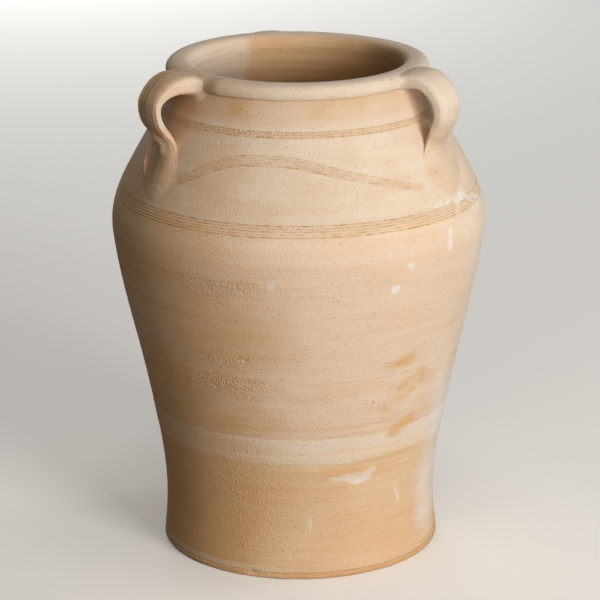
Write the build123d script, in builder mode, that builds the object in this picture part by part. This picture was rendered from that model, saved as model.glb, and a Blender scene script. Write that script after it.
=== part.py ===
from build123d import *

import os
from math import cos, pi, radians, sin, tan

# A garden pithos: a tall storage jar raised as a stack of clay rings on a floor slab, with a rolled lip and
# three strap handles. Millimetres, +Z up, origin at the centre of the face that it stands on.
# Azimuths are in degrees from the front, -Y, towards +X.

# Floor slab, with the ledge that is left round its foot where the wall's clay was wiped down over it
floor_thickness = 12.0
foot_radius = 139.0
ledge_height = 6.0
ledge_overhang = 1.3
base_bevel = 1.8

# Wall rings from the floor up: the height of each, and the outer radius at its top edge
foot_band_height = 126.0
foot_band_radius = 147.8
lower_band_height = 74.0
lower_band_radius = 163.4
belly_band_height = 107.0
belly_band_radius = 185.4
upper_belly_band_height = 51.0
upper_belly_band_radius = 179.6
shoulder_band_height = 83.0
shoulder_band_radius = 136.7
neck_band_height = 32.5
neck_band_radius = 126.5
wall_thickness = 14.0

# The slight waist in the foot ring, above the floor, and the widest line, above the belly ring
waist_rise = 28.0
waist_radius = 137.3
widest_rise = 21.0
widest_radius = 186.8

# Rolled lip
rim_height = 14.5
rim_wall = 22.5
lip_overhang = 3.5
lip_inset = 2.5
lip_roundness = 9.0

# Scored joint between two rings: a tapered groove in the lower one, a tongue under the upper one,
# and slip in the bottom of the groove
key_width = 6.0
key_depth = 4.0
key_draft = 15.0
slip_thickness = 1.0

# Coil pressed into the corner inside
seam_coil_size = 14.0

# Strap handles, each pulled and set by hand: where it stands, how far under the lip's crest its crown and
# its bow are, and how far out from the lip the bow reaches
left_azimuth = -55.0
left_crown_drop = 7.0
left_bow_drop = 25.0
left_bow_reach = 43.0
right_azimuth = 60.0
right_crown_drop = 8.0
right_bow_drop = 29.0
right_bow_reach = 36.5
back_azimuth = 192.5
back_crown_drop = 13.0
back_bow_drop = 33.0
back_bow_reach = 39.5

# The rest of the line through the middle of a strap, measured from the lip and from the shoulder's wall
root_depth = 12.0
root_dip = 4.5
crown_reach = 16.0
shin_drop = 56.5
shin_setback = 10.0
landing_drop = 76.0
landing_stand = 4.7
sole_drop = 94.0
sole_stand = 1.4
toe_drop = 111.0
toe_sink = 1.0

# The section of a strap along that line
root_width = 40.0
strap_width = 30.0
toe_width = 44.0
root_thickness = 16.0
strap_thickness = 11.5
toe_thickness = 5.0
rib_depth = 1.2
strap_edge = 3.5
root_share = 0.45
toe_share = 0.35
strap_sections = 13

# Pads of slip under a handle, each a patch that keeps inside the strap's edges
pad_width = 22.0
root_pad_height = 8.0
foot_pad_height = 14.0

# Levels of the ring joints
floor_level = floor_thickness
foot_level = floor_level + foot_band_height
lower_level = foot_level + lower_band_height
belly_level = lower_level + belly_band_height
upper_belly_level = belly_level + upper_belly_band_height
shoulder_level = upper_belly_level + shoulder_band_height
neck_level = shoulder_level + neck_band_height
crest_level = neck_level + rim_height

# Outer and inner line of the wall, as (radius, level) where two rings meet, at the waist and at the widest line
outer_stations = [
    (foot_radius, floor_level),
    (waist_radius, floor_level + waist_rise),
    (foot_band_radius, foot_level),
    (lower_band_radius, lower_level),
    (belly_band_radius, belly_level),
    (widest_radius, belly_level + widest_rise),
    (upper_belly_band_radius, upper_belly_level),
    (shoulder_band_radius, shoulder_level),
    (neck_band_radius, neck_level),
]
throat_radius = neck_band_radius - rim_wall
inner_stations = [(radius - wall_thickness, level) for radius, level in outer_stations[:-1]]
inner_stations.append((throat_radius, neck_level))

# The lip
lip_radius = neck_band_radius + lip_overhang
mouth_radius = throat_radius - lip_inset
crest_radius = (lip_radius + mouth_radius) / 2
lip_level = crest_level - lip_roundness

# Where each ring joint's key runs: the middle of the wall at that level
keys = {
    "floor_joint": (foot_radius - wall_thickness / 2, floor_level),
    "foot_joint": (foot_band_radius - wall_thickness / 2, foot_level),
    "lower_joint": (lower_band_radius - wall_thickness / 2, lower_level),
    "belly_joint": (belly_band_radius - wall_thickness / 2, belly_level),
    "upper_belly_joint": (upper_belly_band_radius - wall_thickness / 2, upper_belly_level),
    "shoulder_joint": (shoulder_band_radius - wall_thickness / 2, shoulder_level),
    "neck_joint": (neck_band_radius - rim_wall / 2, neck_level),
}

os.makedirs("parts", exist_ok=True)


def write(piece, name):
    """Label a finished piece and write it as its own file."""
    piece.part.label = name
    export_step(piece.part, f"parts/{name}.step")


def key_slice(radius, level, top, bottom):
    """Corners of the tapered joint key centred on radius, between two depths under the joint's level."""
    top_half = key_width / 2 - top * tan(radians(key_draft))
    bottom_half = key_width / 2 - bottom * tan(radians(key_draft))
    return [
        (radius - top_half, level - top),
        (radius + top_half, level - top),
        (radius + bottom_half, level - bottom),
        (radius - bottom_half, level - bottom),
    ]


def lip_line(grow):
    """Draw the outside of the lip from the neck's top edge up to its crest, grow outside its true line."""
    Line((neck_band_radius + grow, neck_level), (lip_radius + grow, lip_level))
    EllipticalCenterArc(
        (crest_radius, lip_level), lip_radius + grow - crest_radius, lip_roundness + grow, arc_size=90
    )


# Slip in the bottom of each ring joint's groove
for joint_name, (key_radius, key_level) in keys.items():
    with BuildPart() as slip:
        with BuildSketch(Plane.XZ):
            Polygon(
                *key_slice(key_radius, key_level, key_depth - slip_thickness, key_depth), align=None
            )
        revolve(axis=Axis.Z)
    write(slip, f"slip_{joint_name}")

# Floor slab, with its ledge at the ground and the first groove in its top
with BuildPart() as floor_disc:
    ledge_radius = foot_radius + ledge_overhang
    with BuildSketch(Plane.XZ):
        with BuildLine():
            Polyline(
                (0, 0),
                (ledge_radius - base_bevel, 0),
                (ledge_radius, base_bevel),
                (ledge_radius, ledge_height),
                (foot_radius, ledge_height),
                (foot_radius, floor_level),
                (0, floor_level),
                close=True,
            )
        make_face()
        Polygon(*key_slice(*keys["floor_joint"], 0, key_depth), align=None, mode=Mode.SUBTRACT)
    revolve(axis=Axis.Z)
write(floor_disc, "floor_disc")

# The whole wall's section, from the floor to under the rim
with BuildSketch(Plane.XZ) as wall_section:
    with BuildLine():
        Spline(*outer_stations)
        Line(outer_stations[-1], inner_stations[-1])
        Spline(*inner_stations)
        Line(inner_stations[0], outer_stations[0])
    make_face()

# The wall's rings: each is the part of the section between two joints, with a tongue below and a groove above
rings = {
    "foot_band": ("floor_joint", "foot_joint"),
    "lower_band": ("foot_joint", "lower_joint"),
    "belly_band": ("lower_joint", "belly_joint"),
    "upper_belly_band": ("belly_joint", "upper_belly_joint"),
    "shoulder_band": ("upper_belly_joint", "shoulder_joint"),
    "neck_band": ("shoulder_joint", "neck_joint"),
}
section_reach = 2 * max(radius for radius, level in outer_stations)
for ring_name, (lower_key, upper_key) in rings.items():
    bottom_level = keys[lower_key][1]
    top_level = keys[upper_key][1]
    with BuildPart() as ring:
        with BuildSketch(Plane.XZ):
            add(wall_section.sketch_local)
            with Locations((0, bottom_level)):
                Rectangle(
                    section_reach,
                    top_level - bottom_level,
                    align=(Align.MIN, Align.MIN),
                    mode=Mode.INTERSECT,
                )
            Polygon(*key_slice(*keys[lower_key], 0, key_depth - slip_thickness), align=None)
            Polygon(*key_slice(*keys[upper_key], 0, key_depth), align=None, mode=Mode.SUBTRACT)
        revolve(axis=Axis.Z)
    write(ring, ring_name)

# Rim coil, rolled into a rounded lip that stands out over the neck and a little into the mouth
with BuildPart() as rim_coil:
    with BuildSketch(Plane.XZ):
        with BuildLine():
            lip_line(0)
            EllipticalCenterArc(
                (crest_radius, lip_level),
                crest_radius - mouth_radius,
                lip_roundness,
                start_angle=90,
                arc_size=90,
            )
            Polyline(
                (mouth_radius, lip_level),
                (throat_radius, neck_level),
                (neck_band_radius, neck_level),
            )
        make_face()
        Polygon(*key_slice(*keys["neck_joint"], 0, key_depth - slip_thickness), align=None)
    revolve(axis=Axis.Z)
write(rim_coil, "rim_coil")

# Coil in the inside corner of floor and wall, smoothed hollow with a thumb
with BuildPart() as floor_seam_coil:
    corner_radius = inner_stations[0][0]
    with BuildSketch(Plane.XZ):
        with BuildLine():
            Spline(*inner_stations)
            Polyline(inner_stations[-1], (0, neck_level), (0, floor_level), inner_stations[0])
        make_face()
        with Locations((corner_radius - seam_coil_size, floor_level)):
            Rectangle(
                section_reach, seam_coil_size, align=(Align.MIN, Align.MIN), mode=Mode.INTERSECT
            )
        with Locations((corner_radius - seam_coil_size, floor_level + seam_coil_size)):
            Circle(seam_coil_size, mode=Mode.SUBTRACT)
    revolve(axis=Axis.Z)
write(floor_seam_coil, "floor_seam_coil")


def outer_body(grow):
    """The jar's outside as one filled solid from the floor to the crest, grow outside its true surface."""
    stations = [(radius + grow, level) for radius, level in outer_stations]
    with BuildPart() as body:
        with BuildSketch(Plane.XZ):
            with BuildLine():
                Spline(*stations)
                lip_line(grow)
                Polyline(
                    (crest_radius, crest_level + grow),
                    (0, crest_level + grow),
                    (0, floor_level),
                    stations[0],
                )
            make_face()
        revolve(axis=Axis.Z)
    return body


def wall_radius(level):
    """Outer radius of the wall at a level."""
    outer_line = Spline(*[(radius, 0, height) for radius, height in outer_stations], mode=Mode.PRIVATE)
    return outer_line.intersect(Plane.XY.offset(level)).vertices()[0].X


def strap_line(crown_drop, bow_drop, bow_reach):
    """Points (radius, level) of a strap's middle line, from inside the lip over the bow to the toe."""
    landing_level = crest_level - landing_drop
    sole_level = crest_level - sole_drop
    toe_level = crest_level - toe_drop
    return [
        (lip_radius - root_depth, crest_level - crown_drop - root_dip),
        (lip_radius + crown_reach, crest_level - crown_drop),
        (lip_radius + bow_reach, crest_level - bow_drop),
        (lip_radius + bow_reach - shin_setback, crest_level - shin_drop),
        (wall_radius(landing_level) + landing_stand, landing_level),
        (wall_radius(sole_level) + sole_stand, sole_level),
        (wall_radius(toe_level) - toe_sink, toe_level),
    ]


def along(share, root_value, middle_value, toe_value):
    """Value along a strap: eased in cosine curves from the root's to the middle's and on to the toe's."""
    root_ease = (1 + cos(pi * min(share / root_share, 1))) / 2
    toe_ease = (1 + cos(pi * min((1 - share) / toe_share, 1))) / 2
    return middle_value + (root_value - middle_value) * root_ease + (toe_value - middle_value) * toe_ease


def strap(azimuth, points):
    """A strap with ribs on its outer face, lofted along its line."""
    outward = (sin(radians(azimuth)), -cos(radians(azimuth)), 0)
    sideways = (cos(radians(azimuth)), sin(radians(azimuth)), 0)
    with BuildLine(Plane((0, 0, 0), outward, (-sideways[0], -sideways[1], 0))) as line:
        Spline(*points)
    with BuildPart() as made:
        for step in range(strap_sections):
            share = step / (strap_sections - 1)
            half = along(share, root_width, strap_width, toe_width) / 2
            rise = along(share, root_thickness, strap_thickness, toe_thickness) / 2
            valley = rise - rib_depth
            flat = half - strap_edge
            rib = flat / 3
            with BuildSketch(Plane(line.line @ share, sideways, line.line % share)):
                with BuildLine():
                    Line((-flat, -rise), (flat, -rise))
                    ThreePointArc((flat, -rise), (half, -rib_depth / 2), (flat, valley))
                    ThreePointArc((flat, valley), (2 * rib, rise), (rib, valley))
                    ThreePointArc((rib, valley), (0, rise), (-rib, valley))
                    ThreePointArc((-rib, valley), (-2 * rib, rise), (-flat, valley))
                    ThreePointArc((-flat, valley), (-half, -rib_depth / 2), (-flat, -rise))
                make_face()
        loft()
    return made


jar = outer_body(0)
slip_skin = outer_body(slip_thickness)


def slip_pad(azimuth, level, height):
    """A patch of slip on the jar's outside, its middle at an azimuth and a level."""
    with BuildPart() as pad:
        with Locations(Location((0, 0, level), (0, 0, azimuth))):
            Box(pad_width, section_reach, height, align=(Align.CENTER, Align.MAX, Align.CENTER))
        add(slip_skin.part, mode=Mode.INTERSECT)
        add(jar.part, mode=Mode.SUBTRACT)
    return pad


# Handles, each trimmed to the lip and the shoulder that it is pressed on to, with a pad of slip at each end
handles = {
    "left": (left_azimuth, left_crown_drop, left_bow_drop, left_bow_reach),
    "right": (right_azimuth, right_crown_drop, right_bow_drop, right_bow_reach),
    "back": (back_azimuth, back_crown_drop, back_bow_drop, back_bow_reach),
}
for side, (azimuth, crown_drop, bow_drop, bow_reach) in handles.items():
    blank = strap(azimuth, strap_line(crown_drop, bow_drop, bow_reach))
    foot_pad = slip_pad(azimuth, crest_level - sole_drop, foot_pad_height)
    root_pad = slip_pad(azimuth, crest_level - crown_drop, root_pad_height)
    with BuildPart() as handle:
        add(blank.part)
        add(jar.part, mode=Mode.SUBTRACT)
        add(foot_pad.part, mode=Mode.SUBTRACT)
        add(root_pad.part, mode=Mode.SUBTRACT)
    write(foot_pad, f"slip_handle_{side}_foot")
    write(root_pad, f"slip_handle_{side}_root")
    write(handle, f"handle_{side}")
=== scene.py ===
import bpy
import numpy as np
from mathutils import Matrix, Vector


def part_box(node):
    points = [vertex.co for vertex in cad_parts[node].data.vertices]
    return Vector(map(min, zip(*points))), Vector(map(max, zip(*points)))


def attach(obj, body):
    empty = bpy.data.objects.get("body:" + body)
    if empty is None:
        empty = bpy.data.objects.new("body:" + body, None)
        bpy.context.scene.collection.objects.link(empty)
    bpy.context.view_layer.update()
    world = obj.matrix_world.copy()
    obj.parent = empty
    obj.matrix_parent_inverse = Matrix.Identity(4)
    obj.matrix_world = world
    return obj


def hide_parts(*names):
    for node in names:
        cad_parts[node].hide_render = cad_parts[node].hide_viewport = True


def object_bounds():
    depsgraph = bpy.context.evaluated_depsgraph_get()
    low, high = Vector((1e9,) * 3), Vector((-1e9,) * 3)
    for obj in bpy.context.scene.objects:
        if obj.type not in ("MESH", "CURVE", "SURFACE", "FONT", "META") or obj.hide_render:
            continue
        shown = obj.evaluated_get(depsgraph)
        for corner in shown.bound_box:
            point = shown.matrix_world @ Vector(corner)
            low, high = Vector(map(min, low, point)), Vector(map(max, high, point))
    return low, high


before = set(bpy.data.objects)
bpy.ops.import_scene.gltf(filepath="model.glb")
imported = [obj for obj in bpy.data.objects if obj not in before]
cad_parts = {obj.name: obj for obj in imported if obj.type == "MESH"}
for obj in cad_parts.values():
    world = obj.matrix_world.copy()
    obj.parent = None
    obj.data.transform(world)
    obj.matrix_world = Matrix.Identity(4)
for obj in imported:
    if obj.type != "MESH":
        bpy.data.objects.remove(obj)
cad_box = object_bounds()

# Floor slab: a disc of clay beaten flat on the wheel head, with finger rings left on its inside.
# Where the wall's clay was wiped down over its edge a low ledge with a burr stays round the foot.
# Lengths are in millimetres, levels run up from the ground, azimuths from the front, -Y, towards +X.
columns = 576
around = np.linspace(-np.pi, np.pi, columns, endpoint=False)
wall_thickness = 14.0
foot_radius = 139.0
ledge_height = 6.0
base_bevel = 1.8
floor_level = 1000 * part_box("floor_disc")[1].z
ledge_radius = 1000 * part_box("floor_disc")[1].x


def mottle(cells_round, cell_height, seed):
    """Random field on the jar, from -1 to 1: values on a lattice of azimuth and level, eased by 3t^2 - 2t^3."""
    lattice = np.random.default_rng(seed).uniform(-1, 1, (256, cells_round))

    def field(azimuth, level):
        """The four values round a point, each weighed by its eased nearness."""
        across = azimuth / (2 * np.pi) * cells_round
        up = level / cell_height
        column, row = np.floor(across).astype(int), np.floor(up).astype(int)
        ease_across = (across - column) ** 2 * (3 - 2 * (across - column))
        ease_up = (up - row) ** 2 * (3 - 2 * (up - row))
        below = lattice[row % 256, column % cells_round] * (1 - ease_across)
        below = below + lattice[row % 256, (column + 1) % cells_round] * ease_across
        above = lattice[(row + 1) % 256, column % cells_round] * (1 - ease_across)
        above = above + lattice[(row + 1) % 256, (column + 1) % cells_round] * ease_across
        return below * (1 - ease_up) + above * ease_up

    return field


def ease(value):
    """Smooth step: 0 under 0, 1 over 1, and 3t^2 - 2t^3 between."""
    held = np.clip(value, 0, 1)
    return held * held * (3 - 2 * held)


def bell(value, half_width):
    """Bell curve: e^-(v/w)^2, 1 at 0."""
    return np.exp(-((value / half_width) ** 2))


def turned(radius, azimuth, level):
    """Points x = r sin a, y = -r cos a, z of a surface of revolution about the jar's axis."""
    return np.stack([radius * np.sin(azimuth), -radius * np.cos(azimuth), level + 0 * radius], axis=-1)


def clay_piece(name, points, marks, sharp_rows, capped):
    """Mesh of a closed grid of points (row, column, xyz). Columns close round. The last row meets the first one,
    or, where capped, a point in the middle of each end row closes it. Marks are values per point."""
    rows, count = points.shape[:2]
    index = np.arange(rows * count).reshape(rows, count)
    here = index[:-1] if capped else index
    over = index[1:] if capped else np.roll(index, -1, axis=0)
    quads = np.stack([here, np.roll(here, -1, 1), np.roll(over, -1, 1), over], axis=-1).reshape(-1, 4)
    vertices = points.reshape(-1, 3)
    corners = quads.ravel()
    starts = np.arange(0, 4 * len(quads), 4)
    if capped:
        vertices = np.vstack([vertices, points[0].mean(0), points[-1].mean(0)])
        first, last = index[0], index[-1]
        low_fan = np.stack([np.roll(first, -1), first, np.full(count, rows * count)], axis=-1)
        high_fan = np.stack([last, np.roll(last, -1), np.full(count, rows * count + 1)], axis=-1)
        fans = np.vstack([low_fan, high_fan])
        starts = np.r_[starts, len(corners) + np.arange(0, 3 * len(fans), 3)]
        corners = np.r_[corners, fans.ravel()]
    mesh = bpy.data.meshes.new(name)
    mesh.vertices.add(len(vertices))
    mesh.vertices.foreach_set("co", (vertices / 1000).astype(np.float32).ravel())
    mesh.loops.add(len(corners))
    mesh.loops.foreach_set("vertex_index", corners.astype(np.int32))
    mesh.polygons.add(len(starts))
    mesh.polygons.foreach_set("loop_start", starts.astype(np.int32))
    mesh.update(calc_edges=True)
    mesh.shade_smooth()
    ends = np.empty(2 * len(mesh.edges), np.int32)
    mesh.edges.foreach_get("vertices", ends)
    edge_rows = ends.reshape(-1, 2) // count
    along_row = (edge_rows[:, 0] == edge_rows[:, 1]) & np.isin(edge_rows[:, 0], sharp_rows)
    sharp = mesh.attributes.new("sharp_edge", "BOOLEAN", "EDGE")
    sharp.data.foreach_set("value", along_row)
    for mark_name, mark in marks.items():
        values = np.zeros(len(vertices), np.float32)
        values[: rows * count] = np.broadcast_to(mark, (rows, count)).ravel()
        mesh.attributes.new(mark_name, "FLOAT", "POINT").data.foreach_set("value", values)
    piece = bpy.data.objects.new(name, mesh)
    bpy.context.scene.collection.objects.link(piece)
    return piece


def colour(red, green, blue):
    """Linear RGBA of a screen colour given from 0 to 255."""
    screen = np.array([red, green, blue]) / 255
    linear = np.where(screen > 0.04045, ((screen + 0.055) / 1.055) ** 2.4, screen / 12.92)
    return (*linear.tolist(), 1.0)


# Colours of the clay's marks. The groove and smudge colours also paint shade, and the chalk white paints light.
chalk_and_light_white = colour(249, 238, 224)
groove_and_shade_brown = colour(192, 142, 82)
smudge_and_shade_olive = colour(150, 126, 92)
stain_orange = colour(230, 174, 96)


def terracotta(name, buff, rust):
    """Unglazed fired clay: buff turning to rust in broad clouds, wheel streaks and where the piece is marked warm,
    with a sandy skin, crumbs of torn clay where marked crumb, lime bloom where marked chalk, iron stain where marked
    stain, and darker clay where marked groove or smudge. The warm, groove and smudge marks also hold painted shade,
    and the chalk mark painted light."""
    material = bpy.data.materials.new(name)
    material.use_nodes = True
    nodes = material.node_tree.nodes
    link = material.node_tree.links.new
    shader = nodes["Principled BSDF"]
    shader.inputs["Roughness"].default_value = 0.88
    shader.inputs["Specular IOR Level"].default_value = 0.2
    place = nodes.new("ShaderNodeTexCoord").outputs["Object"]

    def cloud(scale, detail, flatness):
        """Noise with that many features a metre, squeezed in height by flatness."""
        mapping = nodes.new("ShaderNodeMapping")
        mapping.inputs["Scale"].default_value = (1, 1, flatness)
        link(place, mapping.inputs["Vector"])
        noise = nodes.new("ShaderNodeTexNoise")
        noise.inputs["Scale"].default_value = scale
        noise.inputs["Detail"].default_value = detail
        noise.inputs["Roughness"].default_value = 0.6
        link(mapping.outputs["Vector"], noise.inputs["Vector"])
        return noise.outputs[0]

    def spread(value, low, high, at_low, at_high):
        """Value from low to high stretched to run from at_low to at_high, and held beyond."""
        node = nodes.new("ShaderNodeMapRange")
        link(value, node.inputs["Value"])
        node.inputs["From Min"].default_value = low
        node.inputs["From Max"].default_value = high
        node.inputs["To Min"].default_value = at_low
        node.inputs["To Max"].default_value = at_high
        return node.outputs["Result"]

    def mark(mark_name):
        """One of the piece's own marks."""
        node = nodes.new("ShaderNodeAttribute")
        node.attribute_name = mark_name
        return node.outputs["Fac"]

    def sum_of(first, *others):
        """All the values added up."""
        for other in others:
            node = nodes.new("ShaderNodeMath")
            node.operation = "ADD"
            link(first, node.inputs[0])
            link(other, node.inputs[1])
            first = node.outputs[0]
        return first

    def product(first, second):
        """One value times the other."""
        node = nodes.new("ShaderNodeMath")
        node.operation = "MULTIPLY"
        link(first, node.inputs[0])
        link(second, node.inputs[1])
        return node.outputs[0]

    def laid_over(under, over, share, blend_type="MIX"):
        """Over, a colour or a socket, laid on under by a share."""
        node = nodes.new("ShaderNodeMix")
        node.data_type = "RGBA"
        node.blend_type = blend_type
        link(share, node.inputs[0])
        for socket, paint in ((node.inputs[6], under), (node.inputs[7], over)):
            if isinstance(paint, tuple):
                socket.default_value = paint
            else:
                link(paint, socket)
        return node.outputs[2]

    grain = cloud(900, 3, 1)
    sand = cloud(640, 2, 1)
    crumbs = nodes.new("ShaderNodeTexVoronoi")
    crumbs.inputs["Scale"].default_value = 400
    link(place, crumbs.inputs["Vector"])
    torn = crumbs.outputs["Distance"]
    pits = cloud(260, 3, 1.4)
    lumps = product(spread(torn, 0.1, 0.5, 1, 0), mark("crumb"))
    hollows = product(spread(torn, 0.5, 0.75, 0, 0.35), mark("crumb"))
    broad = spread(cloud(6, 4, 1.5), 0.38, 0.72, -0.12, 0.30)
    streaks = spread(cloud(7, 6, 16), 0.36, 0.68, -0.12, 0.20)
    specks = spread(cloud(430, 2, 1), 0.66, 0.78, 0, 0.5)
    skin = laid_over(buff, rust, spread(sum_of(broad, streaks, mark("warm_and_shade")), 0, 1, 0, 1))
    skin = laid_over(skin, chalk_and_light_white, sum_of(mark("chalk_and_light"), spread(lumps, 0.3, 1, 0, 0.3)))
    skin = laid_over(skin, stain_orange, mark("stain"))
    skin = laid_over(skin, groove_and_shade_brown, spread(sum_of(mark("groove_and_shade"), hollows), 0, 1, 0, 0.8))
    skin = laid_over(skin, smudge_and_shade_olive, spread(mark("smudge_and_shade"), 0, 1, 0, 0.7))
    skin = laid_over(skin, rust, spread(pits, 0.68, 0.80, 0, 0.5), "MULTIPLY")
    skin = laid_over(skin, buff, specks)
    shade = nodes.new("ShaderNodeHueSaturation")
    link(skin, shade.inputs["Color"])
    link(spread(grain, 0.3, 0.7, 0.93, 1.06), shade.inputs["Value"])
    link(shade.outputs["Color"], shader.inputs["Base Color"])
    height = sum_of(
        spread(grain, 0.25, 0.75, 0, 0.14), spread(sand, 0.2, 0.8, 0, 0.46), spread(lumps, 0, 1, 0, 0.62),
        spread(pits, 0.64, 0.80, 0, -0.7), spread(streaks, -0.12, 0.20, 0, 0.2),
    )
    bump = nodes.new("ShaderNodeBump")
    bump.inputs["Distance"].default_value = 0.001
    link(height, bump.inputs["Height"])
    link(bump.outputs["Normal"], shader.inputs["Normal"])
    return material


def settle(piece, node, material):
    """Give a piece its clay and let it stand for its CAD node."""
    piece.data.materials.append(material)
    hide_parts(node)
    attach(piece, "root")


foot_clay = terracotta("foot_clay", colour(246, 214, 177), colour(230, 181, 129))
key_radius = foot_radius - wall_thickness / 2
under_rows, inside_rows = 24, 90
slab_radius = np.concatenate([
    np.linspace(2, ledge_radius - base_bevel, under_rows),
    [ledge_radius - 0.9, ledge_radius - 0.25],
    np.full(4, ledge_radius),
    [ledge_radius - 0.4, foot_radius + 0.2],
    np.full(6, foot_radius),
    [key_radius + 3, key_radius + 2, key_radius - 2, key_radius - 3],
    np.linspace(key_radius - 5, 2, inside_rows),
])[:, None]
slab_level = np.concatenate([
    np.zeros(under_rows),
    [0.45, 1.1],
    np.linspace(base_bevel, ledge_height - 1.2, 4),
    [ledge_height - 0.4, ledge_height],
    np.linspace(ledge_height + 0.3, floor_level, 6),
    [floor_level, floor_level - 4, floor_level - 4, floor_level],
    np.full(inside_rows, floor_level),
])[:, None]
outside = (slab_radius > foot_radius - 0.5) & (slab_level > 0.3)
on_ledge = slab_level < ledge_height + 0.1
ledge_wear = mottle(46, 3.0, 11)(around, slab_level) * 0.3 + mottle(130, 1.5, 12)(around, slab_level) * 0.2 - 0.75
chip_azimuth, chip_level = np.radians(-20), 4.6
chip = 1.6 * bell(np.hypot((around - chip_azimuth) * foot_radius / 5.5, (slab_level - chip_level) / 2.4), 1)
ring_pitch = 6.5
finger_rings = 0.55 * np.cos(slab_radius / ring_pitch * np.pi + around) * (slab_level == floor_level)
finger_rings = finger_rings * ease((slab_radius - 4) / 12) * ease((108 - slab_radius) / 10)
bevel_row, ledge_row, joint_row = under_rows - 1, under_rows + 7, under_rows + 13
slab = clay_piece(
    "floor_slab",
    turned(slab_radius + outside * (ledge_wear * on_ledge - chip), around, slab_level + finger_rings),
    {
        # The ledge painted warmer and darker: partly the foot's own orange, partly painted shade near the floor.
        "warm_and_shade": np.where(slab_level < ledge_height, 0.75, 0.3) + 0 * around,
        "groove_and_shade": outside * np.clip(0.7 + 0.5 * ledge_wear, 0, 1) * bell(slab_level - ledge_height, 0.9),
        "crumb": 0.6 * outside * (slab_level < ledge_height + 1) + 0 * around,
    },
    sharp_rows=[bevel_row, ledge_row, joint_row],
    capped=True,
)
settle(slab, "floor_disc", foot_clay)

# Seam coil: a thin roll of soft clay laid in the corner inside, thumbed hollow against floor and wall.
# It closes the joint of the two, and keeps the row of thumb marks.
coil_top = 1000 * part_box("floor_seam_coil")[1].z
coil_size = 14.0
corner_radius = foot_radius - wall_thickness
thumb_marks = 44
sweep = np.linspace(np.arcsin((coil_top - floor_level) / coil_size - 1), -np.pi / 2, 16)
coil_radius = np.r_[corner_radius, corner_radius - coil_size + coil_size * np.cos(sweep)][:, None]
coil_level = np.r_[floor_level, floor_level + coil_size + coil_size * np.sin(sweep)][:, None]
thumbed = 0.5 * np.cos(thumb_marks * around) + 0.4 * mottle(30, 8, 21)(around, coil_level)
coil_face = np.r_[0, np.sin(np.linspace(0, np.pi, 16))][:, None]
coil = clay_piece(
    "seam_coil",
    turned(coil_radius + 0.7 * coil_face * (thumbed - 0.4), around, coil_level + 0.5 * coil_face * thumbed),
    {"warm_and_shade": np.full((len(coil_radius), 1), 0.3)},
    sharp_rows=[0, 1, len(coil_radius) - 1],
    capped=False,
)
settle(coil, "floor_seam_coil", foot_clay)

# Foot ring: the lowest ring of the wall, thrown on the slab and turned slightly hollow above the foot.
# A tongue under each ring sits in a groove of the one below, and the joint above is smeared over with wet clay.
waist_level, waist_radius = 40.0, 137.3
widest_level, widest_radius = 340.0, 186.8
neck_top_radius = 126.5
throat_radius = 104.0


def smooth_line(knots, values):
    """Natural cubic spline: cubics through the knots that join without a kink, with no bend at both ends."""
    knots, values = np.array(knots), np.array(values)
    step = np.diff(knots)
    slope = np.diff(values) / step
    system = np.diag(np.r_[1, 2 * (step[:-1] + step[1:]), 1])
    system = system + np.diag(np.r_[step[:-1], 0], -1) + np.diag(np.r_[0, step[1:]], 1)
    bend = np.linalg.solve(system, np.r_[0, 6 * np.diff(slope), 0])

    def line(at):
        """The cubic of the span that a place lies in."""
        span = np.clip(np.searchsorted(knots, at) - 1, 0, len(step) - 1)
        before, after = at - knots[span], knots[span + 1] - at
        lower = values[span] / step[span] - bend[span] * step[span] / 6
        upper = values[span + 1] / step[span] - bend[span + 1] * step[span] / 6
        cubic = (bend[span] * after**3 + bend[span + 1] * before**3) / (6 * step[span])
        return cubic + lower * after + upper * before

    return line


def ring_top(node):
    """Level of a ring's upper joint."""
    return 1000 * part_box(node)[1].z


def ring_reach(node):
    """Largest radius of a ring."""
    return 1000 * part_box(node)[1].x


foot_top = ring_top("foot_band")
lower_top = ring_top("lower_band")
belly_top = ring_top("belly_band")
upper_belly_top = ring_top("upper_belly_band")
shoulder_top = ring_top("shoulder_band")
neck_top = ring_top("neck_band")
wall_levels = [
    floor_level, waist_level, foot_top, lower_top, belly_top, widest_level, upper_belly_top, shoulder_top, neck_top,
]
wall_radii = [
    foot_radius, waist_radius, ring_reach("foot_band"), ring_reach("lower_band"), ring_reach("belly_band"),
    widest_radius, ring_reach("shoulder_band"), ring_reach("neck_band"), neck_top_radius,
]
outer_line = smooth_line(wall_levels, wall_radii)
inner_line = smooth_line(
    [*wall_levels[:7], 425, shoulder_top, 470, neck_top],
    [*(radius - wall_thickness for radius in wall_radii[:7]), 134, 114, 106.5, throat_radius],
)

wobble = mottle(5, 90, 31)
ripple = mottle(7, 3.4, 32)
scrape = mottle(60, 2.4, 33)
grit = mottle(420, 2.6, 34)
blotch = mottle(40, 14, 35)
ragged = mottle(170, 5.0, 36)


def within(value, low, high, soft):
    """Window: 1 between low and high, easing to 0 over soft on both sides."""
    return ease((value - low) / soft + 0.5) * ease((high - value) / soft + 0.5)


def short_way(azimuth, middle):
    """Angle from middle to an azimuth, the short way round, between -pi and pi."""
    return (azimuth - middle + np.pi) % (2 * np.pi) - np.pi


def spot(azimuth, level, half_width, half_height, crisp):
    """Patch round a point of the wall: 1 inside an ellipse with a ragged edge, 0 outside, the sharper the crisper."""
    middle = np.radians(azimuth)
    radius = outer_line(level)

    def patch(at_azimuth, at_level):
        """The distance from the middle in half widths, roughened, through the smooth step."""
        distance = np.hypot(short_way(at_azimuth, middle) * radius / half_width, (at_level - level) / half_height)
        rough_edge = 0.3 * ragged(at_azimuth, at_level) + 0.25 * blotch(at_azimuth, at_level)
        return ease((1 - distance + rough_edge) * crisp + 0.5)

    return patch


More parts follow.
